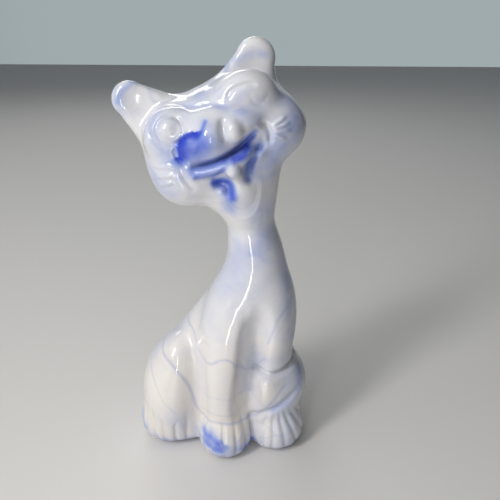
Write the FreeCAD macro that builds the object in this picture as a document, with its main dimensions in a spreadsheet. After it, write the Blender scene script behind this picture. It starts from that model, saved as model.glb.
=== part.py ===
"""A sitting cat figurine in glazed ceramic, built as the members that a maker lutes together.

The cat faces -Y, +Z is up, and the origin is on the table under the middle of the figure.
Right and left are the cat's own: its right side is towards -X. Everything is in millimetres.

The hollow trunk, open at the foot, carries everything else. The top of its neck is a spigot that
stands in a socket in the head. Haunches, paws, forelegs, tail, ears and lower jaw are luted on, and
each one is cut back to the faces of the members that it sits against.
"""

import FreeCAD
import Part
import Sketcher

import math
import os

from FreeCAD import Placement, Rotation, Vector

doc = FreeCAD.newDocument("cat_figurine")

# ---------------------------------------------------------------- driving dimensions

# Horizontal sections of the trunk, from the foot up: height, centre x, y, half width, half depth.
TRUNK_SECTIONS = {
    "foot": (0, 0, 6.5, 31, 20),
    "rump": (9, 0, 7, 34, 22),
    "belly": (28, 1, 7, 34, 22),
    "loin": (46, 3.5, 5, 32.5, 21.5),
    "waist": (63, 6, 2.5, 30, 20.5),
    "chest": (81, 12, -0.5, 25.5, 19),
    "shoulder": (100, 15.5, -2.5, 19.5, 17),
    "neck": (118, 16.5, -4, 14, 13.5),
    "throat": (134, 16, -5, 13, 12.5),
    "spigot": (160, 11, -6, 9.5, 9),
}

# The hollow under the foot, drawn the same way. It narrows upwards.
HOLLOW_SECTIONS = {
    "hollow_foot": (-1, 0.5, 6.5, 24, 14.5),
    "hollow_waist": (48, 5, 4, 20, 13.5),
    "hollow_chest": (92, 13, -1, 10, 9),
}

# The two forelegs are one column: the same five numbers again.
FORELEG_SECTIONS = {
    "pastern": (4, 3.5, -16, 11.5, 9),
    "shin": (30, 3.5, -17, 12.5, 10),
    "elbow": (60, 5.5, -16, 14, 10),
    "armpit": (86, 11, -12, 14, 9),
}

# Rounded masses of the body: centre x, y, z, then half sizes along x, y, z.
BODY_MASSES = {
    "haunch_right": (-26.5, -2, 31, 18, 25, 30.5),
    "haunch_left": (27, -2, 28.5, 17.5, 25, 29.5),
    "hind_paw_right": (-28, -7, 11, 16.5, 15.5, 14.5),
    "hind_paw_left": (28.5, -8, 11.5, 16, 15.5, 15.5),
    "front_paws": (3.5, -18, 11, 13.5, 14, 14),
    "flank": (27, -8, 70, 10.5, 12, 25),
}

# Rounded masses of the head in its own frame, whose origin is the bridge of the nose and whose -y is
# the way that the face looks.
HEAD_MASSES = {
    "skull": (0, 20, -9, 32, 21, 21.5),
    "cheek_right": (-21, 15, -19, 15, 14, 15),
    "cheek_left": (20, 15, -16, 15, 14, 15),
    "muzzle_right": (-10, 3, -10, 12.5, 9.5, 8),
    "muzzle_left": (5, 3, -8, 11, 9.5, 8),
    "nose": (0.5, -4, -8, 9, 5, 6.5),
    "eye_right": (-20.2, 8, -1.1, 5.2, 4, 5.2),
    "eye_left": (13, 6.5, 1, 8, 4, 4.6),
}
JAW_MASSES = {
    "lip": (-2, 4.2, -21.5, 15, 6.6, 5.2),
    "chin": (-1.2, 2.6, -27.5, 6.2, 5.8, 6.4),
    "gullet": (3.5, 9, -36, 8, 8.4, 13),
}

SINGLE_DIMENSIONS = {
    "head_x": 3.5,
    "head_y": -25,
    "head_z": 176.3,
    "head_yaw": 8.5,
    "head_pitch": 8,
    "head_roll": 18.7,
    "mouth_arc_radius": 44,
    "mouth_gap_radius": 1.8,
    "mouth_x": -9,
    "mouth_y": -2,
    "mouth_z": -18,
    "ear_thickness": 11,
    "ear_tip_radius": 6.5,
    "ear_root_radius": 13.5,
    "ear_length": 17,
    "ear_edge_round": 4,
    "ear_set_back": 18,
    "ear_right_x": -23,
    "ear_right_z": 3,
    "ear_right_lean": 34,
    "ear_left_x": 16,
    "ear_left_z": 1.1,
    "ear_left_lean": -29,
    "tail_thickness_radius": 6.5,
    "tail_height": 7.5,
    "tail_curl_radius": 33,
    "tail_curl_y": -4.2,
    "tail_start_angle": 50,
    "tail_sweep_angle": 98,
    "table_size": 300,
}

SECTION_FIELDS = ("height", "centre_x", "centre_y", "half_width", "half_depth")
MASS_FIELDS = ("x", "y", "z", "half_x", "half_y", "half_z")

sheet = doc.addObject("Spreadsheet::Sheet", "dimensions")
rows = []


def enter(alias, value):
    """Writes one dimension in the sheet's next row and gives it its alias."""
    rows.append(alias)
    sheet.set(f"A{len(rows)}", alias)
    sheet.set(f"B{len(rows)}", str(value))
    sheet.setAlias(f"B{len(rows)}", alias)


for sections in (TRUNK_SECTIONS, HOLLOW_SECTIONS, FORELEG_SECTIONS):
    for name, values in sections.items():
        for field, value in zip(SECTION_FIELDS, values):
            enter(f"{name}_{field}", value)
for masses in (BODY_MASSES, HEAD_MASSES, JAW_MASSES):
    for name, values in masses.items():
        for field, value in zip(MASS_FIELDS, values):
            enter(f"{name}_{field}", value)
for name, value in SINGLE_DIMENSIONS.items():
    enter(name, value)
doc.recompute()


def size(alias):
    """The sheet's value for a dimension."""
    return float(sheet.get(alias))


def bind(thing, prop, formula):
    """Ties a property to a formula, in which @ stands before each name from the sheet."""
    thing.setExpression(prop, formula.replace("@", "dimensions."))


# ---------------------------------------------------------------- helpers


def section_ellipse(name):
    """One horizontal ellipse of a loft, bound to its five cells."""
    ellipse = doc.addObject("Part::Ellipse", name + "_section")
    bind(ellipse, "MajorRadius", f"@{name}_half_width")
    bind(ellipse, "MinorRadius", f"@{name}_half_depth")
    bind(ellipse, "Placement.Base.x", f"@{name}_centre_x")
    bind(ellipse, "Placement.Base.y", f"@{name}_centre_y")
    bind(ellipse, "Placement.Base.z", f"@{name}_height")
    return ellipse


def loft(name, sections):
    """A solid skinned over its horizontal sections."""
    made = doc.addObject("Part::Loft", name)
    made.Sections = [section_ellipse(section) for section in sections]
    made.Solid = True
    made.Ruled = False
    return made


def rounded_mass(name):
    """An ellipsoid bound to its six cells."""
    egg = doc.addObject("Part::Ellipsoid", name + "_mass")
    bind(egg, "Radius1", f"@{name}_half_z")
    bind(egg, "Radius2", f"@{name}_half_x")
    bind(egg, "Radius3", f"@{name}_half_y")
    for axis in "xyz":
        bind(egg, f"Placement.Base.{axis}", f"@{name}_{axis}")
    return egg


def fuse(name, shapes, frame=Placement()):
    """One solid from several, set in a frame."""
    made = doc.addObject("Part::MultiFuse", name)
    made.Shapes = shapes
    made.Placement = frame
    return made


def cut(name, base, *tools):
    """base with each of the tools taken away in turn."""
    for number, tool in enumerate(tools, 1):
        step = doc.addObject("Part::Cut", f"{name}_less_{number}")
        step.Base = base
        step.Tool = tool
        base = step
    return base


def above_table(name, thing):
    """The part of thing that isn't below the table."""
    made = doc.addObject("Part::Common", name + "_above_table")
    made.Base = thing
    made.Tool = room
    return made


def keep(node, thing):
    """Names a finished sub-part."""
    thing.Label = node
    nodes[node] = thing


nodes = {}
room = doc.addObject("Part::Box", "room_above_table")
for side in ("Length", "Width", "Height"):
    bind(room, side, "@table_size")
for axis in "xy":
    bind(room, f"Placement.Base.{axis}", "-@table_size / 2")

# ---------------------------------------------------------------- trunk, open underneath

trunk_outside = fuse("trunk_outside", [loft("trunk_loft", TRUNK_SECTIONS), rounded_mass("flank")])
keep("trunk", cut("trunk", trunk_outside, loft("hollow_loft", HOLLOW_SECTIONS)))

# ---------------------------------------------------------------- forelegs, paws and haunches

forelegs = loft("foreleg_loft", FORELEG_SECTIONS)
keep("forelegs", cut("forelegs", forelegs, trunk_outside))
front_paws = above_table("front_paws", rounded_mass("front_paws"))
keep("front_paws", cut("front_paws", front_paws, trunk_outside, forelegs))

haunches = []
for side in ("right", "left"):
    haunch = above_table("haunch_" + side, rounded_mass("haunch_" + side))
    hind_paw = above_table("hind_paw_" + side, rounded_mass("hind_paw_" + side))
    keep("haunch_" + side, cut("haunch_" + side, haunch, trunk_outside, forelegs, front_paws))
    keep(
        "hind_paw_" + side,
        cut("hind_paw_" + side, hind_paw, haunch, trunk_outside, forelegs, front_paws),
    )
    haunches += [haunch, hind_paw]

# ---------------------------------------------------------------- tail, laid round the rump on the table


def tail():
    """A bar bent round the rump, with a round tip beside the left haunch and its root in the rump."""
    curl = doc.addObject("Part::Torus", "tail_curl")
    bind(curl, "Radius1", "@tail_curl_radius")
    bind(curl, "Radius2", "@tail_thickness_radius")
    bind(curl, "Angle3", "@tail_sweep_angle")
    bind(curl, "Placement.Base.y", "@tail_curl_y")
    bind(curl, "Placement.Base.z", "@tail_height")
    curl.Placement.Rotation = Rotation(Vector(0, 0, 1), size("tail_start_angle"))
    tip = doc.addObject("Part::Sphere", "tail_tip")
    bind(tip, "Radius", "@tail_thickness_radius")
    bind(tip, "Placement.Base.x", "@tail_curl_radius * cos(@tail_start_angle * 1deg)")
    bind(tip, "Placement.Base.y", "@tail_curl_y + @tail_curl_radius * sin(@tail_start_angle * 1deg)")
    bind(tip, "Placement.Base.z", "@tail_height")
    return fuse("tail_bar", [curl, tip])


keep("tail", cut("tail", tail(), trunk_outside, *haunches))

# ---------------------------------------------------------------- head

turn = Rotation(Vector(0, 0, 1), size("head_yaw"))
nod = Rotation(Vector(1, 0, 0), -size("head_pitch"))
tilt = Rotation(Vector(0, 1, 0), -size("head_roll"))
head_place = Vector(size("head_x"), size("head_y"), size("head_z"))
head_frame = Placement(head_place, turn * nod * tilt)


def mouth():
    """The groove of the grin: a ring as wide as the smile's arc, standing across the muzzle."""
    ring = doc.addObject("Part::Torus", "mouth_ring")
    bind(ring, "Radius1", "@mouth_arc_radius")
    bind(ring, "Radius2", "@mouth_gap_radius")
    centre = Vector(size("mouth_x"), size("mouth_y"), size("mouth_z") + size("mouth_arc_radius"))
    ring.Placement = head_frame * Placement(centre, Rotation(Vector(1, 0, 0), 90))
    return ring


head_outside = fuse("head_outside", [rounded_mass(name) for name in HEAD_MASSES], head_frame)
keep("head", cut("head", head_outside, trunk_outside, mouth()))
jaw_outside = fuse("jaw_outside", [rounded_mass(name) for name in JAW_MASSES], head_frame)
keep("lower_jaw", cut("lower_jaw", jaw_outside, head_outside, trunk_outside))

# ---------------------------------------------------------------- ears


def origin_plane(body, role):
    return next(feature for feature in body.Origin.OriginFeatures if feature.Role == role)


def ear_outline(body, side):
    """A sketch of the ear seen from the front: a wide round root and a small round tip, with
    straight sides tangent to both. Its origin is the middle of the root."""
    sketch = body.newObject("Sketcher::SketchObject", f"ear_{side}_outline")
    sketch.AttachmentSupport = (origin_plane(body, "XZ_Plane"), "")
    sketch.MapMode = "FlatFace"

    root_radius = size("ear_root_radius")
    tip_radius = size("ear_tip_radius")
    length = size("ear_length")
    slope = math.asin((root_radius - tip_radius) / length)
    normal = Vector(math.cos(slope), math.sin(slope), 0)
    mirrored = Vector(-normal.x, normal.y, 0)
    up = Vector(0, 0, 1)
    top = Vector(0, length, 0)
    root_circle = Part.Circle(Vector(0, 0, 0), up, root_radius)
    tip_circle = Part.Circle(top, up, tip_radius)
    root, tip, side_right, side_left = sketch.addGeometry(
        [
            Part.ArcOfCircle(root_circle, math.pi - slope, 2 * math.pi + slope),
            Part.ArcOfCircle(tip_circle, slope, math.pi - slope),
            Part.LineSegment(normal * root_radius, top + normal * tip_radius),
            Part.LineSegment(top + mirrored * tip_radius, mirrored * root_radius),
        ],
        False,
    )
    start, end, centre = 1, 2, 3
    origin, vertical_axis = -1, -2
    joins = ((root, end, side_right, start), (side_right, end, tip, start))
    joins += ((tip, end, side_left, start), (side_left, end, root, start))
    for join in joins:
        sketch.addConstraint(Sketcher.Constraint("Tangent", *join))
    sketch.addConstraint(Sketcher.Constraint("Coincident", root, centre, origin, start))
    sketch.addConstraint(Sketcher.Constraint("PointOnObject", tip, centre, vertical_axis))
    driven = {
        "ear_root_radius": Sketcher.Constraint("Radius", root, root_radius),
        "ear_tip_radius": Sketcher.Constraint("Radius", tip, tip_radius),
        "ear_length": Sketcher.Constraint("DistanceY", origin, start, tip, centre, length),
    }
    for alias, constraint in driven.items():
        index = sketch.addConstraint(constraint)
        sketch.renameConstraint(index, alias)
        bind(sketch, f"Constraints.{alias}", f"@{alias}")
    return sketch


def ear(side):
    """An ear: its outline made solid, with its front and back edges rounded."""
    body = doc.addObject("PartDesign::Body", f"ear_{side}_body")
    pad = body.newObject("PartDesign::Pad", f"ear_{side}_pad")
    pad.Profile = ear_outline(body, side)
    pad.Midplane = True
    bind(pad, "Length", "@ear_thickness")
    doc.recompute()
    half = size("ear_thickness") / 2
    rims = [
        f"Edge{number}"
        for number, edge in enumerate(pad.Shape.Edges, 1)
        if all(abs(abs(vertex.Y) - half) < 0.01 for vertex in edge.Vertexes)
    ]
    rounding = body.newObject("PartDesign::Fillet", f"ear_{side}_rounding")
    rounding.Base = (pad, rims)
    bind(rounding, "Radius", "@ear_edge_round")
    body.Tip = rounding
    place = Vector(size(f"ear_{side}_x"), size("ear_set_back"), size(f"ear_{side}_z"))
    lean = Rotation(Vector(0, 1, 0), -size(f"ear_{side}_lean"))
    body.Placement = head_frame * Placement(place, lean)
    return body


for side in ("right", "left"):
    keep("ear_" + side, cut("ear_" + side, ear(side), head_outside))

# ---------------------------------------------------------------- checks and files

doc.recompute()
for thing in doc.Objects:
    if {"Invalid", "Error"} & set(thing.State):
        raise RuntimeError(f"{thing.Name} failed: {thing.State}")
for node, thing in nodes.items():
    shape = thing.Shape
    if shape.isNull() or not shape.isValid() or len(shape.Solids) != 1:
        raise RuntimeError(f"{node} has {len(shape.Solids)} solids, valid {shape.isValid()}")

os.makedirs("parts", exist_ok=True)
whole = FreeCAD.BoundBox()
for node, thing in nodes.items():
    thing.Shape.exportStep(f"parts/{node}.step")
    box = thing.Shape.optimalBoundingBox()
    whole.add(box)
    print(f"{node}: {thing.Shape.Volume / 1000:.1f} cm3, {box.XMin:.1f} {box.XMax:.1f}",
          f"{box.YMin:.1f} {box.YMax:.1f} {box.ZMin:.1f} {box.ZMax:.1f}")
print("whole:", whole)
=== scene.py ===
"""Looks for the marbled cat figurine.

The whole cat is modelled as one block of clay: a grid of signed distances in millimetres, in the CAD
frame, on which rounded masses are added, hollows are carved and thin strokes are pressed or raised.
The clay's skin becomes one mesh, and that mesh is cut into one piece for each CAD node. The cuts are
simple shapes of their own, and not the CAD's joint surfaces. Colour is painted on the pieces'
vertices as three washes (deep blue, light blue and thin veins), which the glaze material breaks up
with noise. The two blue washes also carry painted shade: in creases of the face, in the valleys and
creases round the legs, and down the cat's left flank, the side turned away from the key light.

The cat faces -Y. Right and left are the cat's own: its right is towards -X.
"""

import math

import bmesh
import bpy
import numpy as np
from mathutils import Matrix, Vector


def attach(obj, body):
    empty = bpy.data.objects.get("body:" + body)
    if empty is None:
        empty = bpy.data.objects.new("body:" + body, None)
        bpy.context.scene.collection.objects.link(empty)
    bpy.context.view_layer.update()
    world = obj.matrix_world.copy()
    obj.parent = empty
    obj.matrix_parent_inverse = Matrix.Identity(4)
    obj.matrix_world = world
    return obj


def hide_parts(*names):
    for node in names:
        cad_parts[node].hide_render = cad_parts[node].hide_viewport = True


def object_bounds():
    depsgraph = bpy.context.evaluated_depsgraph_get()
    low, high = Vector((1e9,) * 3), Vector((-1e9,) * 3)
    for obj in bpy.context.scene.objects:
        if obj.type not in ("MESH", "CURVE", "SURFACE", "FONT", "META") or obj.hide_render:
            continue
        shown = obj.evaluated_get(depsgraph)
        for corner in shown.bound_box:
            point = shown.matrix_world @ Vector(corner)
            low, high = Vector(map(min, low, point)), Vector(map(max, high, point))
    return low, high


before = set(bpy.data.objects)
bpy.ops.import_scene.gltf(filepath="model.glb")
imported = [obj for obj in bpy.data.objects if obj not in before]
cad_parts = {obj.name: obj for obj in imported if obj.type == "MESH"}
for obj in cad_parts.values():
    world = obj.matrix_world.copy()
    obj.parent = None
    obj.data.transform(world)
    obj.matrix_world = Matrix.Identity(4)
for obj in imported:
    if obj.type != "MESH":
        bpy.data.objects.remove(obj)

cad_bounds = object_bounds()

MM = 0.001


# ---------------------------------------------------------------- lengths, in millimetres

GRID_STEP = 0.6
GRID_MARGIN = 4
FAR = 60.0
FOOT_ROUNDING = 7
MOULD_STEP = 1.2
MOULD_MARGIN = 3

# A face whose middle is further than this from the clay's surface was made by a cut.
CUT_DISTANCE = 0.15

cad_low, cad_high = (np.array(corner) / MM for corner in cad_bounds)


class HeadFrame:
    """The head's own axes: x to the cat's left, z up through the crown, -y the way the face looks.
    The origin is the bridge of the nose."""

    YAW = math.radians(8.5)
    PITCH = math.radians(-8)
    ROLL = math.radians(-18.7)

    def __init__(self, origin):
        turn = Matrix.Rotation(self.YAW, 3, "Z")
        nod = Matrix.Rotation(self.PITCH, 3, "X")
        tilt = Matrix.Rotation(self.ROLL, 3, "Y")
        self.axes = np.array(turn @ nod @ tilt)
        self.origin = np.array(origin, float)

    def to_world(self, point):
        return self.origin + self.axes @ np.array(point, float)

    def to_local(self, x, y, z):
        dx = x - self.origin[0]
        dy = y - self.origin[1]
        dz = z - self.origin[2]
        columns = self.axes.T
        return tuple(row[0] * dx + row[1] * dy + row[2] * dz for row in columns)


head = HeadFrame((3.5, -25.0, 176.3))


# ---------------------------------------------------------------- clay


def smooth_min(a, b, blend):
    """The lesser of two distances, with the corner between them filled over a width of blend."""
    overlap = np.maximum(blend - np.abs(a - b), 0) / blend
    return np.minimum(a, b) - overlap * overlap * (blend / 4)


class Clay:
    """Signed distances on a regular grid, negative inside the clay."""

    def __init__(self, low, high, step):
        self.step = step
        self.low = np.array(low, float)
        count = np.ceil((np.array(high) - self.low) / step).astype(int) + 1
        self.axes = [self.low[i] + step * np.arange(count[i]) for i in range(3)]
        self.field = np.full(count, FAR, np.float32)

    def window(self, low, high):
        """The part of the grid between two corners, and its coordinates."""
        spans = []
        for axis, start, end in zip(self.axes, low, high):
            first = int(np.searchsorted(axis, start))
            last = int(np.searchsorted(axis, end, "right"))
            spans.append(slice(first, max(last, first)))
        grids = np.meshgrid(
            *(axis[span].astype(np.float32) for axis, span in zip(self.axes, spans)),
            indexing="ij",
            sparse=True,
        )
        return tuple(spans), grids

    def near(self, shape, blend):
        """The part of the grid that the shape can change, and the shape's distances there."""
        reach = 1.7 * blend + 3 * self.step
        span, grids = self.window(shape.low - reach, shape.high + reach)
        return span, shape.distance(*grids)

    def add(self, shape, blend):
        span, distance = self.near(shape, blend)
        self.field[span] = smooth_min(self.field[span], distance, blend)

    def carve(self, shape, blend):
        span, distance = self.near(shape, blend)
        self.field[span] = -smooth_min(-self.field[span], distance, blend)

    def press(self, stroke):
        """Moves the skin in by the stroke's depth, or out where the depth is negative."""
        span, grids = self.window(stroke.low, stroke.high)
        self.field[span] += stroke.depth_at(*grids)

    def sample(self, points):
        """The field between grid points."""
        place = (points - self.low) / self.step
        top = np.array(self.field.shape) - 2
        cell = np.clip(np.floor(place).astype(int), 0, top)
        part = place - cell
        total = np.zeros(len(points))
        for corner in np.ndindex(2, 2, 2):
            weight = np.prod(np.where(corner, part, 1 - part), axis=1)
            total += weight * self.field[tuple((cell + corner).T)]
        return total

    def slope(self, points):
        """The field's unit gradient, which is the skin's outward normal."""
        columns = []
        for axis in range(3):
            offset = np.zeros(3)
            offset[axis] = self.step
            columns.append(self.sample(points + offset) - self.sample(points - offset))
        gradient = np.stack(columns, axis=1)
        size = np.linalg.norm(gradient, axis=1, keepdims=True)
        return gradient / np.maximum(size, 1e-9), size[:, 0] / (2 * self.step)

    def skin(self):
        """The zero surface as (vertices, quads), by surface nets."""
        inside = self.field < 0
        corners = [inside[x : x - 1 or None, y : y - 1 or None, z : z - 1 or None]
                   for x, y, z in np.ndindex(2, 2, 2)]
        filled = sum(corner.astype(np.int8) for corner in corners)
        cells = np.argwhere((filled > 0) & (filled < 8))
        number = np.full(filled.shape, -1, np.int64)
        number[tuple(cells.T)] = np.arange(len(cells))

        total = np.zeros((len(cells), 3))
        crossings = np.zeros(len(cells))
        for start in np.ndindex(2, 2, 2):
            for axis in range(3):
                if start[axis]:
                    continue
                end = tuple(1 if i == axis else v for i, v in enumerate(start))
                a = self.field[tuple((cells + start).T)]
                b = self.field[tuple((cells + end).T)]
                crossed = (a < 0) != (b < 0)
                part = np.where(crossed, a / np.where(crossed, a - b, 1), 0)
                point = np.tile(np.array(start, float), (len(cells), 1))
                point[:, axis] = part
                total += point * crossed[:, None]
                crossings += crossed
        vertices = self.low + self.step * (cells + total / crossings[:, None])

        quads = []
        for axis in range(3):
            near = [slice(None)] * 3
            far = [slice(None)] * 3
            near[axis] = slice(0, -1)
            far[axis] = slice(1, None)
            a = inside[tuple(near)]
            b = inside[tuple(far)]
            edges = np.argwhere(a != b)
            outward = a[tuple(edges.T)]
            second = (axis + 1) % 3
            third = (axis + 2) % 3
            ring = []
            for back_second, back_third in ((1, 1), (0, 1), (0, 0), (1, 0)):
                cell = edges.copy()
                cell[:, second] -= back_second
                cell[:, third] -= back_third
                ring.append(number[tuple(cell.T)])
            ring = np.stack(ring, axis=1)
            ring[~outward] = ring[~outward][:, ::-1]
            quads.append(ring)
        vertices = self.settle(vertices)
        return vertices, np.concatenate(quads)

    def settle(self, points):
        """Moves points onto the zero surface."""
        for _ in range(3):
            normal, steepness = self.slope(points)
            away = self.sample(points) / np.maximum(steepness, 0.3)
            points = points - normal * np.clip(away, -self.step, self.step)[:, None]
        return points


# ---------------------------------------------------------------- shapes of clay


class Egg:
    """An ellipsoid, in the CAD frame or in the head's."""

    def __init__(self, centre, radii, place=None, turn=None):
        self.centre = np.array(centre, float)
        self.radii = np.array(radii, float)
        self.place = place
        self.turn = turn
        middle = place.to_world(centre) if place else self.centre
        reach = self.radii.max()
        self.low = middle - reach
        self.high = middle + reach

    def distance(self, x, y, z):
        if self.place:
            x, y, z = self.place.to_local(x, y, z)
        offsets = [value - middle for value, middle in zip((x, y, z), self.centre)]
        if self.turn is not None:
            rows = np.array(self.turn)
            offsets = [sum(row[i] * offsets[i] for i in range(3)) for row in rows.T]
        near = sum((d / r) ** 2 for d, r in zip(offsets, self.radii))
        steep = sum((d / (r * r)) ** 2 for d, r in zip(offsets, self.radii))
        near = np.sqrt(near)
        return near * (near - 1) / np.sqrt(steep + 1e-9)


class Cone:
    """Two balls and the straight skin between them. flat squeezes it along y about its own middle."""

    def __init__(self, start, start_radius, end, end_radius, place=None, flat=1.0):
        self.place = place
        self.flat = flat
        self.start = np.array(start, float)
        self.end = np.array(end, float)
        self.start_radius = start_radius
        self.end_radius = end_radius
        ends = [place.to_world(p) if place else p for p in (self.start, self.end)]
        reach = max(start_radius, end_radius)
        self.low = np.minimum(*ends) - reach
        self.high = np.maximum(*ends) + reach

    def distance(self, x, y, z):
        if self.place:
            x, y, z = self.place.to_local(x, y, z)
        along = self.end - self.start
        length_squared = along @ along
        dx = x - self.start[0]
        dy = y - self.start[1]
        dz = z - self.start[2]
        part = (dx * along[0] + dy * along[1] + dz * along[2]) / length_squared
        part = np.clip(part, 0, 1)
        gap_x = dx - along[0] * part
        gap_y = (dy - along[1] * part) / self.flat
        gap_z = dz - along[2] * part
        radius = self.start_radius + (self.end_radius - self.start_radius) * part
        stretched = np.sqrt(gap_x**2 + gap_y**2 + gap_z**2 + 1e-9)
        steep = np.sqrt(gap_x**2 + (gap_y / self.flat) ** 2 + gap_z**2 + 1e-9)
        return (stretched - radius) * stretched / steep


class Stack:
    """A column skinned over horizontal ellipses: (height, centre x, centre y, half width, half depth)."""

    def __init__(self, sections):
        self.sections = np.array(sections, float)
        heights = self.sections[:, 0]
        wide = self.sections[:, 3]
        deep = self.sections[:, 4]
        self.low = np.array((
            (self.sections[:, 1] - wide).min(), (self.sections[:, 2] - deep).min(), heights[0]))
        self.high = np.array((
            (self.sections[:, 1] + wide).max(), (self.sections[:, 2] + deep).max(), heights[-1]))

    def section_at(self, height):
        """The four section values at each height, along a smooth curve through the sections."""
        heights = self.sections[:, 0]
        values = self.sections[:, 1:]
        slopes = np.gradient(values, heights, axis=0)
        clipped = np.clip(height, heights[0], heights[-1])
        index = np.clip(np.searchsorted(heights, clipped, "right") - 1, 0, len(heights) - 2)
        gap = heights[index + 1] - heights[index]
        t = ((clipped - heights[index]) / gap)[:, None]
        start, end = values[index], values[index + 1]
        start_slope = slopes[index] * gap[:, None]
        end_slope = slopes[index + 1] * gap[:, None]
        return (
            start * (2 * t**3 - 3 * t**2 + 1)
            + start_slope * (t**3 - 2 * t**2 + t)
            + end * (3 * t**2 - 2 * t**3)
            + end_slope * (t**3 - t**2)
        )

    def distance(self, x, y, z):
        centre_x, centre_y, wide, deep = self.section_at(z.ravel()).T[:, None, None, :]
        dx = x - centre_x
        dy = y - centre_y
        near = np.sqrt((dx / wide) ** 2 + (dy / deep) ** 2)
        steep = np.sqrt((dx / wide**2) ** 2 + (dy / deep**2) ** 2 + 1e-9)
        around = near * (near - 1) / steep
        above = z - self.sections[-1, 0]
        below = self.sections[0, 0] - z
        return np.maximum(around, np.maximum(above, below)).astype(np.float32)


class Prism:
    """A flat outline of (x, z) points pushed along y from front to back."""

    def __init__(self, outline, front, back, place=None):
        self.outline = np.array(outline, float)
        self.front = front
        self.back = back
        self.place = place
        corners = [(x, y, z) for x, z in outline for y in (front, back)]
        if place:
            corners = [place.to_world(corner) for corner in corners]
        self.low = np.min(corners, axis=0)
        self.high = np.max(corners, axis=0)

    def distance(self, x, y, z):
        if self.place:
            x, y, z = self.place.to_local(x, y, z)
        closed = np.vstack([self.outline, self.outline[:1]])
        gap, _ = distance_to_path(closed, x, z)
        inside = np.zeros(np.broadcast(x, z).shape, bool)
        for start, end in zip(closed, closed[1:]):
            between = (start[1] > z) != (end[1] > z)
            rise = end[1] - start[1] or 1e-9
            inside ^= between & (x < start[0] + (end[0] - start[0]) * (z - start[1]) / rise)
        around = np.where(inside, -gap, gap)
        return np.maximum(around, np.maximum(self.front - y, y - self.back))


def curve_through(points, pieces=6):
    """Points along a smooth curve through the given ones."""
    points = np.array(points, float)
    padded = np.vstack([2 * points[0] - points[1], points, 2 * points[-1] - points[-2]])
    steps = np.arange(pieces) / pieces
    curve = []
    for before, start, end, after in zip(padded, padded[1:], padded[2:], padded[3:]):
        for t in steps:
            curve.append(0.5 * (
                2 * start + (end - before) * t
                + (2 * before - 5 * start + 4 * end - after) * t**2
                + (3 * start - before - 3 * end + after) * t**3))
    curve.append(points[-1])
    return np.array(curve)


def distance_to_path(path, *coordinates):
    """(distance to the nearest point of a path, how far along the path that is from 0 to 1)."""
    best = None
    where = None
    for number, (start, end) in enumerate(zip(path, path[1:])):
        along = end - start
        offsets = [value - s for value, s in zip(coordinates, start)]
        part = sum(o * a for o, a in zip(offsets, along)) / (along @ along)
        part = np.clip(part, 0, 1)
        gap = np.sqrt(sum((o - a * part) ** 2 for o, a in zip(offsets, along)))
        place = (number + part) / (len(path) - 1)
        if best is None:
            best, where = gap, place
        else:
            nearer = gap < best
            where = np.where(nearer, place, where)
            best = np.where(nearer, gap, best)
    return best, where


class Stroke:
    """A groove or a ridge drawn from the front through (x, z) points, in the CAD frame or in the
    head's. It fades out behind the depth given as back, and towards its ends where taper is more
    than 0."""

    def __init__(self, points, width, depth, back, taper=0.2, place=None):
        self.path = curve_through(points, pieces=5)
        self.width = width
        self.depth = depth
        self.back = back
        self.taper = taper
        self.place = place
        margin = 3 * width
        corners = [
            (x, y, z)
            for x in (self.path[:, 0].min() - margin, self.path[:, 0].max() + margin)
            for y in (-40, back + 5)
            for z in (self.path[:, 1].min() - margin, self.path[:, 1].max() + margin)
        ]
        if place:
            corners = [place.to_world(corner) for corner in corners]
        self.low = np.min(corners, axis=0)
        self.high = np.max(corners, axis=0)

    def depth_at(self, x, y, z):
        across, depth, up = self.place.to_local(x, y, z) if self.place else (x, y, z)
        gap, place = distance_to_path(self.path, across, up)
        strength = np.exp(-((gap / self.width) ** 2))
        strength = strength * np.clip((self.back - depth) / 4, 0, 1)
        if self.taper:
            end = np.minimum(place, 1 - place) / self.taper
            strength = strength * np.clip(end, 0, 1) ** 0.7
        return self.depth * strength


class Toes:
    """Grooves between toes, fanned out round an axis that passes through the paw. A heading is the
    angle from straight ahead, or from straight down where the axis leans forward."""

    def __init__(self, centre, radius, headings, width, depth, top, axis=(0, 0, 1)):
        self.centre = np.array(centre, float)
        self.radius = radius
        self.width = width
        self.depth = depth
        self.top = top
        self.low = self.centre - radius
        self.high = self.centre + radius
        axis = np.array(axis, float) / np.linalg.norm(axis)
        ahead = np.array((0, -1, 0) if axis[2] > 0.9 else (0, 0, -1), float)
        ahead -= axis * (ahead @ axis)
        ahead /= np.linalg.norm(ahead)
        side = np.cross(axis, ahead)
        angles = [math.radians(heading) for heading in headings]
        self.rays = [
            (ahead * math.cos(angle) + side * math.sin(angle),
             side * math.cos(angle) - ahead * math.sin(angle))
            for angle in angles
        ]

    def depth_at(self, x, y, z):
        dx = x - self.centre[0]
        dy = y - self.centre[1]
        dz = z - self.centre[2]
        total = 0
        for out, across in self.rays:
            forward = dx * out[0] + dy * out[1] + dz * out[2]
            beside = dx * across[0] + dy * across[1] + dz * across[2]
            total = total + np.exp(-((beside / self.width) ** 2)) * np.clip(forward / 6, 0, 1)
        fade = np.clip((self.top - z) / 10, 0, 1) * np.clip((z - 1) / 4, 0, 1)
        fade = fade * np.clip((-5 - y) / 7, 0, 1)
        return self.depth * total * fade


# ---------------------------------------------------------------- the cat's body

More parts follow.
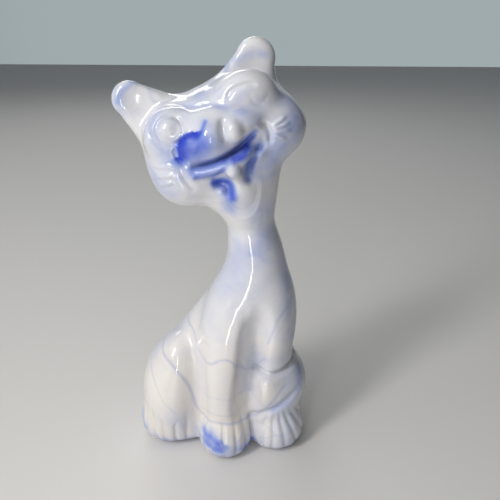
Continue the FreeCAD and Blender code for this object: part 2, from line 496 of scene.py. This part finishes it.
TRUNK = [
    (0, 1.0, 3.5, 31.0, 19.0),
    (14, 1.0, 4.5, 33.5, 21.0),
    (32, 1.5, 5.8, 33.5, 22.8),
    (48, 3.5, 5.0, 31.5, 22.5),
    (60, 6.2, 3.0, 29.5, 21.5),
    (71, 10.8, 1.5, 26.4, 20.0),
    (82, 14.8, -0.5, 22.4, 18.5),
    (91, 17.2, -2.0, 18.8, 17.0),
    (101, 18.6, -3.5, 14.9, 15.2),
    (112, 17.8, -4.6, 13.0, 13.8),
    (122, 16.2, -5.3, 11.4, 12.8),
    (132, 14.9, -6.0, 10.8, 12.3),
    (140, 13.6, -6.3, 11.2, 12.3),
    (148, 13.2, -6.3, 11.0, 11.5),
    (156, 12.2, -6.3, 8.5, 8.5),
    (163, 11.5, -6.3, 5.0, 5.0),
]
FORELEG = [
    (6, 3.5, -18.0, 12.0, 9.5),
    (30, 3.4, -18.0, 12.0, 10.5),
    (60, 4.6, -17.0, 12.5, 11.5),
    (76, 7.8, -14.5, 14.0, 11.5),
    (90, 13.5, -9.5, 14.2, 10.8),
    (102, 16.0, -5.0, 9.5, 8.5),
    (112, 16.5, -3.0, 4.0, 4.0),
]
HOLLOW = [
    (-2, 0.5, 6.5, 24.0, 14.5),
    (24, 2.5, 5.5, 22.5, 14.2),
    (48, 5.0, 4.0, 20.0, 13.5),
    (88, 12.5, -0.5, 10.5, 9.0),
]


def model_body(clay):
    clay.add(Stack(TRUNK), 1)
    clay.add(Egg((0, 9, 28), (33.5, 22.5, 27)), 12)

    # Haunches, with the knees forward.
    clay.add(Egg((-24, -3, 26), (18.5, 24, 31)), 5)
    clay.add(Egg((-20, -8, 46), (12, 15, 17)), 5)
    clay.add(Egg((27, 1, 28), (17.5, 23, 27)), 3)
    clay.add(Egg((31, -6, 36), (13, 14, 14)), 6)
    clay.add(Egg((23, -17.5, 40), (8, 7.5, 9)), 7)

    clay.add(Stack(FORELEG), 8)
    clay.add(Egg((27.5, -8, 69), (10.5, 13.5, 25)), 8)

    # The deep valley beside the forelegs, and the crease where the flank hangs over the left thigh.
    fold = curve_through(
        [(21.5, -27, 82), (19.5, -24.5, 68), (17, -22.5, 54), (15.8, -24, 40), (15.5, -27, 24)],
        pieces=3)
    for start, end in zip(fold, fold[1:]):
        clay.carve(Cone(start, 1.6, end, 1.6), 9)
    clay.carve(Cone((-9.5, -25, 64), 0.5, (-9.8, -27, 22), 2.0), 10)
    clay.carve(Cone((-32, 4, 61), 0.5, (-12, -16, 74), 0.5), 5)

    # Paws, nearly upright at the bottom edge.
    clay.add(Egg((-28, -7, 9), (16, 16, 17)), 5)
    clay.add(Egg((-17, -9, 9), (9, 10, 12)), 6)
    clay.add(Egg((29, -8, 9), (15.6, 16, 17)), 3)
    clay.press(Stroke([(17, 49.5), (24, 47.5), (32, 48), (40, 50.5)], 1.6, 1.8, 2))
    clay.press(Stroke([(15, 21), (21, 23), (28, 27.5), (35, 33), (43, 40)], 1.8, 1.3, 4))
    clay.add(Egg((3.5, -18.5, 9), (13.5, 14, 16.5)), 3)

    # Tail, round the rump.
    tail = curve_through([(-27, 16, 11), (-14, 26, 9), (4, 29, 7.8), (20, 24.5, 7), (29, 14, 6.5)], 3)
    for number, (start, end) in enumerate(zip(tail, tail[1:])):
        clay.add(Cone(start, 8.4 - 0.25 * number, end, 8.15 - 0.25 * number), 2)

    for paw in (
        Toes((3.5, -12, 10), 20, (-58, -38, -18, 2, 22, 42, 62), 1.1, 0.8, 25),
        Toes((-27, 0, 10), 26, (-66, -48, -32, -16, -2, 12, 26), 1.1, 0.8, 27),
        Toes((24, -6, 32), 32, (-16, -4, 8, 20, 32, 44, 56), 1.2, 0.65, 31, (0.35, -0.85, 0.4)),
    ):
        clay.press(paw)


# ---------------------------------------------------------------- the cat's head


def model_head(clay):
    def egg(centre, radii, blend):
        clay.add(Egg(centre, radii, head), blend)

    def stroke(points, width, depth, back=12, taper=0.2):
        clay.press(Stroke(points, width, depth, back, taper, place=head))

    egg((0, 20, -6), (31, 20, 18.5), 9)
    egg((-20, 15, -20), (16, 14.5, 15), 7)
    egg((-22, 17, -12), (14, 12, 14), 5)
    egg((20, 15, -14.5), (15.5, 14, 14), 7)
    egg((-2, 16, -26), (17, 12, 13), 8)
    clay.add(Egg((12, -6, 140), (9.5, 10.5, 7)), 16)
    clay.add(Egg((10, -11, 140), (7.5, 8, 9)), 12)
    clay.add(Cone((12, 15, -22), 7.5, (1, 18, -42), 6.5, head), 10)

    # Ears, dished in front.
    for start, start_radius, end, end_radius in (
        ((-22.3, 19, 1.2), 14.2, (-32.9, 17, 16.8), 7.6),
        ((14, 20, 2), 15.4, (23.6, 19, 15.3), 8.5),
    ):
        clay.add(Cone(start, start_radius, end, end_radius, head, flat=0.55), 5)
    clay.carve(Egg((-29.5, 9, 12.5), (7.5, 5.5, 10), head, Matrix.Rotation(math.radians(-34), 3, "Y")), 4)
    clay.carve(Egg((20, 10.2, 13), (8.5, 5.5, 9.5), head, Matrix.Rotation(math.radians(30), 3, "Y")), 4)

    # The mask: a lump round each eye, and the wide muzzle.
    egg((-20.5, 9, -2.5), (12.5, 9, 11.5), 4)
    egg((13, 9, 1), (14, 10, 11.5), 4)
    egg((-4, 5, -8), (17, 10, 11.5), 4)
    egg((8, 4, -9), (8.5, 8, 6.5), 4)
    egg((4, 0.2, -9.6), (5, 7.5, 5.6), 1.5)
    egg((-5, -2.5, -9), (5, 5, 5), 4)
    stroke([(-33, -2), (-29.2, 6), (-21.3, 9.7), (-13.9, 7.8), (-9, 4.6), (-1, 3.2), (6, 0)], 1.1, 1.0)

    # Lower lip, chin and the cord that runs down from it.
    egg((-2, 4, -21.2), (16, 7.5, 4.5), 3)
    egg((-1.4, -1, -24.4), (3.2, 3.4, 3.3), 1)
    clay.add(Cone((-1.4, 2, -26), 3, (-0.4, 7, -34), 3, head), 2)
    clay.add(Cone((-0.4, 7, -34), 3, (-1, 15, -46), 1.5, head), 9)

    # The grin: a slit between the muzzle and the lip.
    stroke([(-17.5, -17.8), (-8, -19), (0.5, -17.8), (7, -15.5), (13.8, -12)], 1.5, 2.6, taper=0.12)
    stroke([(-18.5, -22.6), (-10.5, -24.4), (-4, -23.5)], 1.0, 1.0)
    stroke([(-11.5, -27.5), (-6.5, -29.5), (-5.8, -35)], 2.0, 2.4)
    stroke([(15.5, -17.5), (12, -19.5), (8, -22.8), (5, -26.5), (3, -33)], 1.7, 2.6, taper=0.4)

    # The slit between the nose's two lobes.
    stroke([(1.2, -3), (0, -7.6), (-1.2, -12.5)], 1.3, 1.4, taper=0.4)

    # Open eye: a ball in a ringed socket. Winking eye: a lid drawn down over it.
    egg((-20.2, 3, -1), (5, 4, 5), 0.8)
    ring = [(-20.2 + 5.6 * math.cos(a), -1 + 5.6 * math.sin(a)) for a in np.linspace(0, 2 * math.pi, 13)]
    stroke(ring, 0.7, 0.7, taper=0)
    stroke([(-23.5, 7.3), (-28.3, 2.8), (-27.6, -3.8), (-24.5, -8)], 1.0, 0.8)
    stroke([(-19.6, -7.2), (-15.6, -6), (-11, -6.6)], 1.0, 0.9)
    stroke([(5.6, 2.3), (8.1, 5.1), (12.7, 6), (16.2, 5.4), (19, 4)], 0.8, 0.8)
    stroke([(15.2, 3), (15.4, -1.8), (19, -3), (23, 0)], 0.9, 0.35, taper=0.45)
    stroke([(4.5, 1.5), (10, -1.5), (15, -4), (21, -5)], 1.2, 0.5, taper=0.4)

    # Whiskers, and the folds at the corners of the grin.
    for start, end in (
        ((18.6, -13.4), (26.6, -11.2)), ((18.8, -14.4), (27.2, -14.2)),
        ((18.8, -15.4), (26.6, -17.2)), ((18.2, -16.4), (23.8, -20.2)),
        ((-33.0, -12.5), (-24.0, -15.5)), ((-34.5, -16.6), (-24.7, -18.6)),
        ((-33.5, -20.5), (-26.0, -21.2)),
    ):
        middle = tuple((a + b) / 2 for a, b in zip(start, end))
        stroke([start, middle, end], 0.7, -1.0, taper=0.3, back=20)
    stroke([(15.2, -9.5), (17.6, -12.3), (17.8, -16), (16, -20)], 1.0, 1.4)
    stroke([(-20.6, -7.5), (-21.4, -12), (-19, -17.5)], 1.0, 0.9)
    stroke([(-21.5, -15), (-21.6, -20), (-20.5, -24), (-19.3, -28)], 1.5, 0.9, taper=0.45)


def model_cat():
    clay = Clay(cad_low - GRID_MARGIN, cad_high + GRID_MARGIN, GRID_STEP)
    model_body(clay)
    model_head(clay)
    height = clay.axes[2].astype(np.float32)
    clay.field = -smooth_min(-clay.field, height[None, None, :], FOOT_ROUNDING)
    clay.carve(Stack(HOLLOW), 2)
    return clay


clay = model_cat()


# ---------------------------------------------------------------- pieces


def new_object(name, vertices, faces):
    mesh = bpy.data.meshes.new(name)
    mesh.from_pydata((vertices * MM).tolist(), [], faces.tolist())
    made = bpy.data.objects.new(name, mesh)
    bpy.context.scene.collection.objects.link(made)
    return made


def mould(*shapes):
    """A closed mesh round some shapes, for cutting with."""
    low = np.min([shape.low for shape in shapes], axis=0) - MOULD_MARGIN
    high = np.max([shape.high for shape in shapes], axis=0) + MOULD_MARGIN
    block = Clay(low, high, MOULD_STEP)
    for shape in shapes:
        block.add(shape, 1)
    return new_object("mould", *block.skin())


def cut(source, tool, operation):
    """The mesh that is left of source inside the tool (INTERSECT) or outside it (DIFFERENCE)."""
    modifier = source.modifiers.new("cut", "BOOLEAN")
    modifier.solver = "MANIFOLD"
    modifier.operation = operation
    modifier.object = tool
    evaluated = source.evaluated_get(bpy.context.evaluated_depsgraph_get())
    mesh = bpy.data.meshes.new_from_object(evaluated)
    source.modifiers.remove(modifier)
    return mesh


# Where each member parts from the rest, in the order in which they're taken off. The trunk is left.
MOULDS = {
    "ear_right": [Prism([(-38.6, -1.2), (-13, 18), (-37, 50), (-62, 31)], -10, 40, head)],
    "ear_left": [Prism([(4.2, 19.4), (32.4, 0.4), (52, 30), (24, 49)], -10, 40, head)],
    "lower_jaw": [Prism([
        (-18.5, -17.9), (-8, -19.1), (0.5, -17.9), (7, -15.6), (14.2, -12), (17.5, -14), (17, -20),
        (10.5, -24), (5, -28), (3.4, -34), (-3, -34), (-4, -28), (-11, -26.2), (-19.5, -23.5),
    ], -20, 5, head)],
    "head": [Prism([(-60, -38), (60, -38), (60, 60), (-60, 60)], -40, 60, head)],
    "front_paws": [Egg((3.5, -23, 6), (14.8, 14, 18))],
    "hind_paw_right": [Egg((-28, -7.5, 6), (18, 18.5, 17.5))],
    "hind_paw_left": [Egg((29, -8.5, 6), (17.6, 18.5, 19))],
    "haunch_right": [Egg((-27.5, -3, 29), (19.5, 27, 34))],
    "haunch_left": [Egg((29, -2, 26), (18.5, 26, 26))],
    "forelegs": [Prism([
        (-9.7, 14), (-9.5, 64), (-3, 88), (19, 88), (20, 74), (16.5, 50), (15.6, 24), (15.6, 14),
    ], -45, -12)],
    "tail": [
        Cone((-22, 24, 8), 10, (4, 31, 7), 10),
        Cone((4, 31, 7), 10, (24, 24, 6), 9),
    ],
}


def drop_crumbs(mesh):
    """Keeps only the mesh's largest connected part."""
    shape = bmesh.new()
    shape.from_mesh(mesh)
    left = set(shape.verts)
    parts = []
    while left:
        part = {left.pop()}
        edge = list(part)
        while edge:
            near = {other for link in edge.pop().link_edges for other in link.verts} & left
            left -= near
            part |= near
            edge.extend(near)
        parts.append(part)
    parts.sort(key=len)
    crumbs = [vert for part in parts[:-1] for vert in part]
    bmesh.ops.delete(shape, geom=crumbs, context="VERTS")
    shape.to_mesh(mesh)
    shape.free()


def cut_apart(clay):
    """{node: its piece}, cut from the clay's skin."""
    rest = new_object("cat_trunk", *clay.skin())
    members = {}
    for node, shapes in MOULDS.items():
        tool = mould(*shapes)
        mesh = cut(rest, tool, "INTERSECT")
        mesh.name = "cat_" + node
        member = bpy.data.objects.new("cat_" + node, mesh)
        bpy.context.scene.collection.objects.link(member)
        members[node] = member
        left = cut(rest, tool, "DIFFERENCE")
        used = [rest.data, tool.data]
        rest.data = left
        bpy.data.objects.remove(tool)
        for mesh in used:
            bpy.data.meshes.remove(mesh)
    members["trunk"] = rest
    for member in members.values():
        drop_crumbs(member.data)
    return members


def corner_points(mesh):
    points = np.empty(len(mesh.vertices) * 3)
    mesh.vertices.foreach_get("co", points)
    return points.reshape(-1, 3) / MM


def shade(member):
    """Gives the outer faces the whole skin's normals, so that no seam shows, and leaves the cut
    faces flat."""
    mesh = member.data
    points = corner_points(mesh)
    normals, _ = clay.slope(points)
    corner_vertex = np.empty(len(mesh.loops), np.int32)
    mesh.loops.foreach_get("vertex_index", corner_vertex)
    count = len(mesh.polygons)
    middles = np.empty(count * 3)
    flats = np.empty(count * 3)
    sizes = np.empty(count, np.int32)
    mesh.polygons.foreach_get("center", middles)
    mesh.polygons.foreach_get("normal", flats)
    mesh.polygons.foreach_get("loop_total", sizes)
    is_cut = np.abs(clay.sample(middles.reshape(-1, 3) / MM)) > CUT_DISTANCE
    mesh.polygons.foreach_set("use_smooth", np.ones(count, bool))
    corner_normals = normals[corner_vertex]
    on_cut = np.repeat(is_cut, sizes)
    corner_normals[on_cut] = np.repeat(flats.reshape(-1, 3), sizes, axis=0)[on_cut]
    mesh.normals_split_custom_set(corner_normals.tolist())


members = cut_apart(clay)


# ---------------------------------------------------------------- painted washes


class Wash:
    """Colour brushed on from the front along a line of (x, z) points. above is the width on the
    line's upper side, where the edge can be sharper. The colour fades out over the length fade
    in front of y = back."""

    def __init__(self, points, width, strength=1.0, above=None, back=9, fade=15, place=None):
        self.path = curve_through(points)
        self.width = width
        self.strength = strength
        self.above = above or width
        self.back = back
        self.fade = fade
        self.place = place

    def amount(self, points):
        x, y, z = points.T
        if self.place:
            x, y, z = self.place.to_local(x, y, z)
        gap, _ = distance_to_path(self.path, x, z)
        line = np.interp(x, self.path[:, 0], self.path[:, 1])
        width = np.where(z > line, self.above, self.width) if self.above != self.width else self.width
        reach = np.clip((self.back - y) / self.fade, 0, 1)
        return self.strength * np.exp(-((gap / width) ** 2)) * reach


def on_face(points, width, strength=1.0, back=14, **more):
    return Wash(points, width, strength, back=back, fade=6, place=head, **more)


WASHES = {
    "cobalt_and_shade": [
        # Muzzle under the open eye, with its sharp upper edge.
        on_face([(-20, -12), (-19, -7.6), (-15.4, -5), (-11.6, -4.8)], 3.7, 1.0, above=0.6),
        on_face([(-17.8, -9.5), (-13.5, -12), (-9.5, -11)], 4.4, 0.66),
        on_face([(-10.5, -6.6), (-8, -5.4), (-5.4, -2.4)], 0.9, 0.6),
        # Inside the grin, where the blue in the crease is partly glaze and partly painted shade, and along
        # the lower lip.
        on_face([(-17.5, -18.4), (-8, -19.2), (0.5, -18), (7, -15.8), (12.5, -12.8)], 1.2, 0.3),
        on_face([(-17.2, -20), (-11.5, -20.8), (-4.5, -20.2)], 2.8, 0.38),
        on_face([(-17, -22), (-10, -23.6), (-5, -22.6)], 1.1, 0.5),
        on_face([(0.5, -20.4), (4.2, -20.2), (7.5, -17.8)], 1.8, 0.75),
        on_face([(-3, -19.8), (4, -18.2), (10, -14.8)], 1.8, 0.4),
        # Under the chin; and in the groove beside it, blue that is partly glaze and partly painted shadow.
        on_face([(-11, -27), (-7.5, -28), (-4.6, -29.5), (-4.9, -33), (-5.6, -36)], 1.6, 0.66),
        on_face([(-8.5, -30), (-7, -36), (-8.5, -40)], 4.2, 0.3),
        on_face([(12, -19.4), (8.5, -22.6), (5.2, -26.4), (3.4, -30)], 2.4, 0.42),
        on_face([(13, -21), (8, -27)], 5.0, 0.14),
        # Front paw, and the notch beside it.
        Wash([(-5.5, 15), (-2, 14.5), (1.5, 13)], 2.6, 0.55),
        Wash([(-4.5, 11), (-1.5, 9.5), (3, 9)], 2.4, 0.55),
        Wash([(2, 12), (6, 11)], 1.6, 0.3),
        Wash([(14.5, 6), (17.5, 6)], 1.8, 0.6),
    ],
    "pale_blue_and_shade": [
        on_face([(-22, 7), (-26.5, 3), (-27.5, -4), (-25.5, -11)], 3.6, 0.6),
        on_face([(-23, -9), (-22.5, -14), (-24, -20)], 2.5, 0.35),
        on_face([(-35, -9), (-35, -16), (-30, -26)], 2.6, 0.45),
        on_face([(-11, 9.8), (-7, 9.5), (-4, 7.5)], 2.6, 0.6),
        on_face([(-15, 7.5), (-8, 4.6), (0, 2.2), (6, -1.5), (10, -4)], 1.6, 0.6),
        on_face([(-6, -3), (-4.6, -7), (-5.5, -12)], 2.6, 0.6),
        on_face([(-18, -13.5), (-10, -13), (-3, -12.5)], 3.2, 0.6),
        on_face([(30, -4), (33, -10), (28, -16), (20, -22), (13, -28)], 5.0, 0.8),
        on_face([(8, 3), (15, -1), (21, -3)], 6, 0.32),
        # Painted shade in the valley between the nose and the left corner of the grin.
        on_face([(9, -4), (13, -8)], 4, 0.35),
        on_face([(-38, 17), (-34, 20.5), (-28, 22.5)], 1.3, 0.75, back=30),
        on_face([(-38, 12), (-36, 22)], 2.0, 0.35, back=30),
        on_face([(14, 17), (22, 16.8), (28, 14.8)], 2.0, 0.5, back=30),
        on_face([(10, 14), (14, 21), (20, 24.5)], 1.2, 0.6, back=30),
        Wash([(22, 132), (23.5, 122), (21, 112)], 6, 0.6),
        Wash([(13, 112), (12, 104), (8, 96)], 8, 0.3),
        # Painted shade: a blue-grey band down the cat's left flank, the side turned away from the key light.
        Wash([(33, 106), (36, 88), (36, 68)], 3.5, 0.6),
        # Painted shade in the valleys on both sides of the forelegs.
        Wash([(-9, 62), (-9, 45), (-10, 30)], 4, 0.2),
        Wash([(18, 62), (16, 50), (15.5, 38)], 3.5, 0.35),
        # Painted shade under the overhang of the left thigh, along its crease with the paw.
        Wash([(29, 27), (36, 32), (41.5, 38), (42, 46)], 2.4, 0.75),
        Wash([(-43, 14), (-39, 8), (-28, 3), (-14, 3.5)], 3.4, 0.8),
        Wash([(-8, 9), (3, 6), (13, 8)], 4, 0.6),
        Wash([(-6.5, 9), (-6, 14), (-2, 17)], 3, 0.5),
        Wash([(20, 3.5), (30, 2.5), (42, 6)], 2.2, 0.5),
    ],
    "vein": [
        Wash([(-30, 62), (-27.9, 56), (-22, 52), (-16.7, 45), (-12.9, 34.5), (-10.8, 26), (-6, 22),
              (2, 23), (12, 21.5), (19, 21), (25, 29), (30, 37), (34, 42)], 0.75, 0.5),
        Wash([(-17, 68), (-12.3, 66), (-10, 61), (-6.4, 57), (-2, 57), (4, 60.5), (9, 59), (12, 51),
              (15, 48), (20, 51), (24, 56)], 0.65, 0.45),
        Wash([(-36, 48), (-31, 40), (-27, 33), (-21, 26)], 0.5, 0.3),
        Wash([(-6, 36), (2, 38), (11, 36), (17, 37)], 0.5, 0.25),
        Wash([(34, 84), (30, 79), (27.5, 72), (25.6, 66)], 0.6, 0.45),
        Wash([(-9, 26), (0, 27.5), (9, 27)], 0.5, 0.3),
        Wash([(-9, 11), (-3, 6), (4, 4), (13, 8)], 0.6, 0.5),
        Wash([(-6.5, 15), (-1, 17), (2, 13), (-2, 11), (-5, 9)], 0.8, 0.6),
        Wash([(-42, 22), (-41.5, 12), (-36, 6), (-24, 5)], 0.6, 0.3),
        on_face([(-31, 5), (-24, 9.6), (-15, 8), (-9, 5)], 0.7, 0.4),
        on_face([(-36, -4), (-34, -14), (-29, -22)], 0.6, 0.35),
        on_face([(-9.5, -6.8), (-8, -10), (-8.5, -14)], 0.8, 0.5),
    ],
}


def paint(member):
    """Stores the three washes on the member's vertices, as one colour."""
    points = corner_points(member.data)
    channels = []
    for washes in WASHES.values():
        bare = np.ones(len(points))
        for wash in washes:
            bare *= 1 - wash.amount(points)
        channels.append(1 - bare)
    channels.append(np.ones(len(points)))
    colour = member.data.color_attributes.new("wash", "FLOAT_COLOR", "POINT")
    colour.data.foreach_set("color", np.stack(channels, axis=1).astype(np.float32).ravel())


# ---------------------------------------------------------------- glaze


class Nodes:
    """A material's node tree, with short calls for making and joining nodes."""

    def __init__(self, material):
        self.tree = material.node_tree
        self.shader = self.tree.nodes["Principled BSDF"]
        self.place = self.tree.nodes.new("ShaderNodeTexCoord").outputs["Object"]

    def join(self, start, end):
        self.tree.links.new(start, end)

    def noise(self, scale, detail, roughness, distortion):
        node = self.tree.nodes.new("ShaderNodeTexNoise")
        node.inputs["Scale"].default_value = scale
        node.inputs["Detail"].default_value = detail
        node.inputs["Roughness"].default_value = roughness
        node.inputs["Distortion"].default_value = distortion
        self.join(self.place, node.inputs["Vector"])
        return node.outputs["Fac"]

    def range(self, value, low, high, to_low=0.0, to_high=1.0):
        node = self.tree.nodes.new("ShaderNodeMapRange")
        node.interpolation_type = "SMOOTHSTEP"
        self.join(value, node.inputs["Value"])
        for name, number in (("From Min", low), ("From Max", high), ("To Min", to_low), ("To Max", to_high)):
            node.inputs[name].default_value = number
        return node.outputs["Result"]

    def maths(self, operation, a, b):
        node = self.tree.nodes.new("ShaderNodeMath")
        node.operation = operation
        for value, socket in ((a, node.inputs[0]), (b, node.inputs[1])):
            if isinstance(value, (int, float)):
                socket.default_value = value
            else:
                self.join(value, socket)
        return node.outputs[0]

    def mix(self, amount, under, over):
        node = self.tree.nodes.new("ShaderNodeMix")
        node.data_type = "RGBA"
        self.join(amount, node.inputs[0])
        for value, socket in ((under, node.inputs[6]), (over, node.inputs[7])):
            if isinstance(value, tuple):
                socket.default_value = (*value, 1)
            else:
                self.join(value, socket)
        return node.outputs[2]


WHITE = (0.78, 0.775, 0.79)
CREAM = (0.80, 0.76, 0.715)
LAVENDER = (0.61, 0.635, 0.74)
PALE_BLUE = (0.34, 0.42, 0.73)
BLUE = (0.14, 0.21, 0.68)
COBALT = (0.022, 0.055, 0.56)
VEIN = (0.33, 0.38, 0.63)
PAPER = (0.74, 0.725, 0.70)
SKY_BRIGHT = (0.8, 0.83, 0.86)
SKY_DARK = (0.06, 0.07, 0.1)
SKY_BEHIND = (1.25, 1.45, 1.5)


def marbled_glaze():
    material = bpy.data.materials.new("marbled_glaze")
    material.use_nodes = True
    nodes = Nodes(material)

    wash = nodes.tree.nodes.new("ShaderNodeAttribute")
    wash.attribute_name = "wash"
    split = nodes.tree.nodes.new("ShaderNodeSeparateColor")
    nodes.join(wash.outputs["Color"], split.inputs["Color"])
    cobalt_and_shade, pale_blue_and_shade, vein = (split.outputs[i] for i in range(3))

    height = nodes.tree.nodes.new("ShaderNodeSeparateXYZ")
    nodes.join(nodes.place, height.inputs[0])
    colour = nodes.mix(nodes.range(height.outputs["Z"], 0.02, 0.11), CREAM, WHITE)
    clouds = nodes.range(nodes.noise(22, 3, 0.5, 0.6), 0.40, 0.66)
    colour = nodes.mix(clouds, colour, LAVENDER)

    # Thin lines where a warped noise crosses its middle value.
    warped = nodes.noise(16, 2, 0.45, 1.6)
    off_line = nodes.maths("ABSOLUTE", nodes.maths("SUBTRACT", warped, 0.5), 0.0)
    thread = nodes.range(off_line, 0.0, 0.012, 0.28, 0.0)
    present = nodes.range(nodes.noise(12, 1, 0.5, 0.0), 0.45, 0.6)
    colour = nodes.mix(nodes.maths("MULTIPLY", thread, present), colour, VEIN)

    streaks = nodes.noise(70, 4, 0.6, 1.2)
    # The light blue wash, which also carries painted shade in valleys, creases and down the shaded flank.
    colour = nodes.mix(
        nodes.maths("MULTIPLY", pale_blue_and_shade, nodes.range(streaks, 0.3, 0.6, 0.35, 1.0)), colour, PALE_BLUE)
    colour = nodes.mix(
        nodes.maths("MULTIPLY", vein, nodes.range(streaks, 0.3, 0.6, 0.5, 1.0)), colour, VEIN)
    # The deep blue wash, which also carries painted shade in the grin's crease and in the groove beside the
    # chin.
    uneven = nodes.maths("ADD", cobalt_and_shade, nodes.range(streaks, 0.25, 0.75, -0.08, 0.08))
    colour = nodes.mix(nodes.range(uneven, 0.0, 0.42), colour, PALE_BLUE)
    colour = nodes.mix(nodes.range(uneven, 0.22, 0.75), colour, BLUE)
    colour = nodes.mix(nodes.range(uneven, 0.55, 0.98), colour, COBALT)
    nodes.join(colour, nodes.shader.inputs["Base Color"])

    gloss = nodes.range(nodes.noise(90, 2, 0.5, 0.0), 0.3, 0.7, 0.09, 0.17)
    nodes.join(gloss, nodes.shader.inputs["Roughness"])
    nodes.shader.inputs["IOR"].default_value = 1.52
    nodes.shader.inputs["Coat Weight"].default_value = 0.35
    nodes.shader.inputs["Coat Roughness"].default_value = 0.06
    nodes.shader.inputs["Subsurface Weight"].default_value = 0.08
    nodes.shader.inputs["Subsurface Radius"].default_value = (1.0, 0.9, 1.2)
    nodes.shader.inputs["Subsurface Scale"].default_value = 0.003

    ripple = nodes.tree.nodes.new("ShaderNodeBump")
    ripple.inputs["Strength"].default_value = 0.25
    ripple.inputs["Distance"].default_value = 0.0004
    nodes.join(nodes.noise(160, 2, 0.4, 0.0), ripple.inputs["Height"])
    nodes.join(ripple.outputs["Normal"], nodes.shader.inputs["Normal"])
    return material


glaze = marbled_glaze()
for node, member in members.items():
    member.data.materials.clear()
    member.data.materials.append(glaze)
    paint(member)
    shade(member)
    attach(member, "root")
    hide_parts(node)


# ---------------------------------------------------------------- floor, light and camera

bpy.ops.mesh.primitive_plane_add(size=6)
floor = bpy.context.object
floor.name = "floor"
paper = bpy.data.materials.new("paper")
paper.use_nodes = True
paper.node_tree.nodes["Principled BSDF"].inputs["Base Color"].default_value = (*PAPER, 1)
floor.data.materials.append(paper)

world = bpy.data.worlds.new("studio")
bpy.context.scene.world = world
world.use_nodes = True
sky_nodes = world.node_tree.nodes
join = world.node_tree.links.new
background = sky_nodes["Background"]
background.inputs["Strength"].default_value = 0.28
axis = sky_nodes.new("ShaderNodeSeparateXYZ")
join(sky_nodes.new("ShaderNodeTexCoord").outputs["Generated"], axis.inputs[0])


def sky_blend(axis_name, low, high):
    """A colour mix that goes from its first colour to its second along an axis of the sky."""
    ramp = sky_nodes.new("ShaderNodeMapRange")
    ramp.interpolation_type = "SMOOTHSTEP"
    ramp.inputs["From Min"].default_value = low
    ramp.inputs["From Max"].default_value = high
    blend = sky_nodes.new("ShaderNodeMix")
    blend.data_type = "RGBA"
    join(axis.outputs[axis_name], ramp.inputs["Value"])
    join(ramp.outputs["Result"], blend.inputs[0])
    return blend


sideways = sky_blend("X", -0.7, 0.3)
sideways.inputs[6].default_value = (*SKY_BRIGHT, 1)
sideways.inputs[7].default_value = (*SKY_DARK, 1)
behind = sky_blend("Y", 0.72, 0.92)
behind.inputs[7].default_value = (*SKY_BEHIND, 1)
join(sideways.outputs[2], behind.inputs[6])
join(behind.outputs[2], background.inputs["Color"])

CAMERA_YAW = math.radians(5)
CAMERA_PITCH = math.radians(22.5)
CAMERA_PLACE = Vector((36.4, -244.2, 207.7)) * MM
camera_data = bpy.data.cameras.new("camera")
camera_data.sensor_width = 36
camera_data.lens = 38.88
camera = bpy.data.objects.new("camera", camera_data)
camera.location = CAMERA_PLACE
camera.rotation_euler = (math.pi / 2 - CAMERA_PITCH, 0, CAMERA_YAW)
bpy.context.scene.collection.objects.link(camera)
bpy.context.scene.camera = camera
bpy.context.scene.view_settings.view_transform = "Standard"


LIT_POINT = Vector((0, 0, 0.1))


def area_light(name, direction, distance, size, power, colour):
    """A rectangular light that looks at a point 0.1 m up the figure's middle, from a distance."""
    data = bpy.data.lights.new(name, "AREA")
    data.shape = "RECTANGLE"
    data.size, data.size_y = size
    data.energy = power
    data.color = colour
    light = bpy.data.objects.new(name, data)
    direction = Vector(direction).normalized()
    light.location = LIT_POINT + direction * distance
    light.rotation_euler = direction.to_track_quat("Z", "Y").to_euler()
    bpy.context.scene.collection.objects.link(light)


area_light("key", (-0.62, -0.72, 0.66), 0.9, (0.16, 0.5), 3.9, (1.0, 0.98, 0.95))
area_light("strip", (-0.08, -0.99, 0.0), 0.265, (0.008, 0.19), 0.14, (1.0, 0.98, 0.96))
area_light("top", (-0.3, -0.4, 0.87), 1.2, (1.6, 1.6), 6.2, (0.98, 0.99, 1.0))
area_light("back", (-0.3, 0.7, 0.65), 1.5, (0.8, 0.4), 3.4, (1.0, 0.99, 0.97))
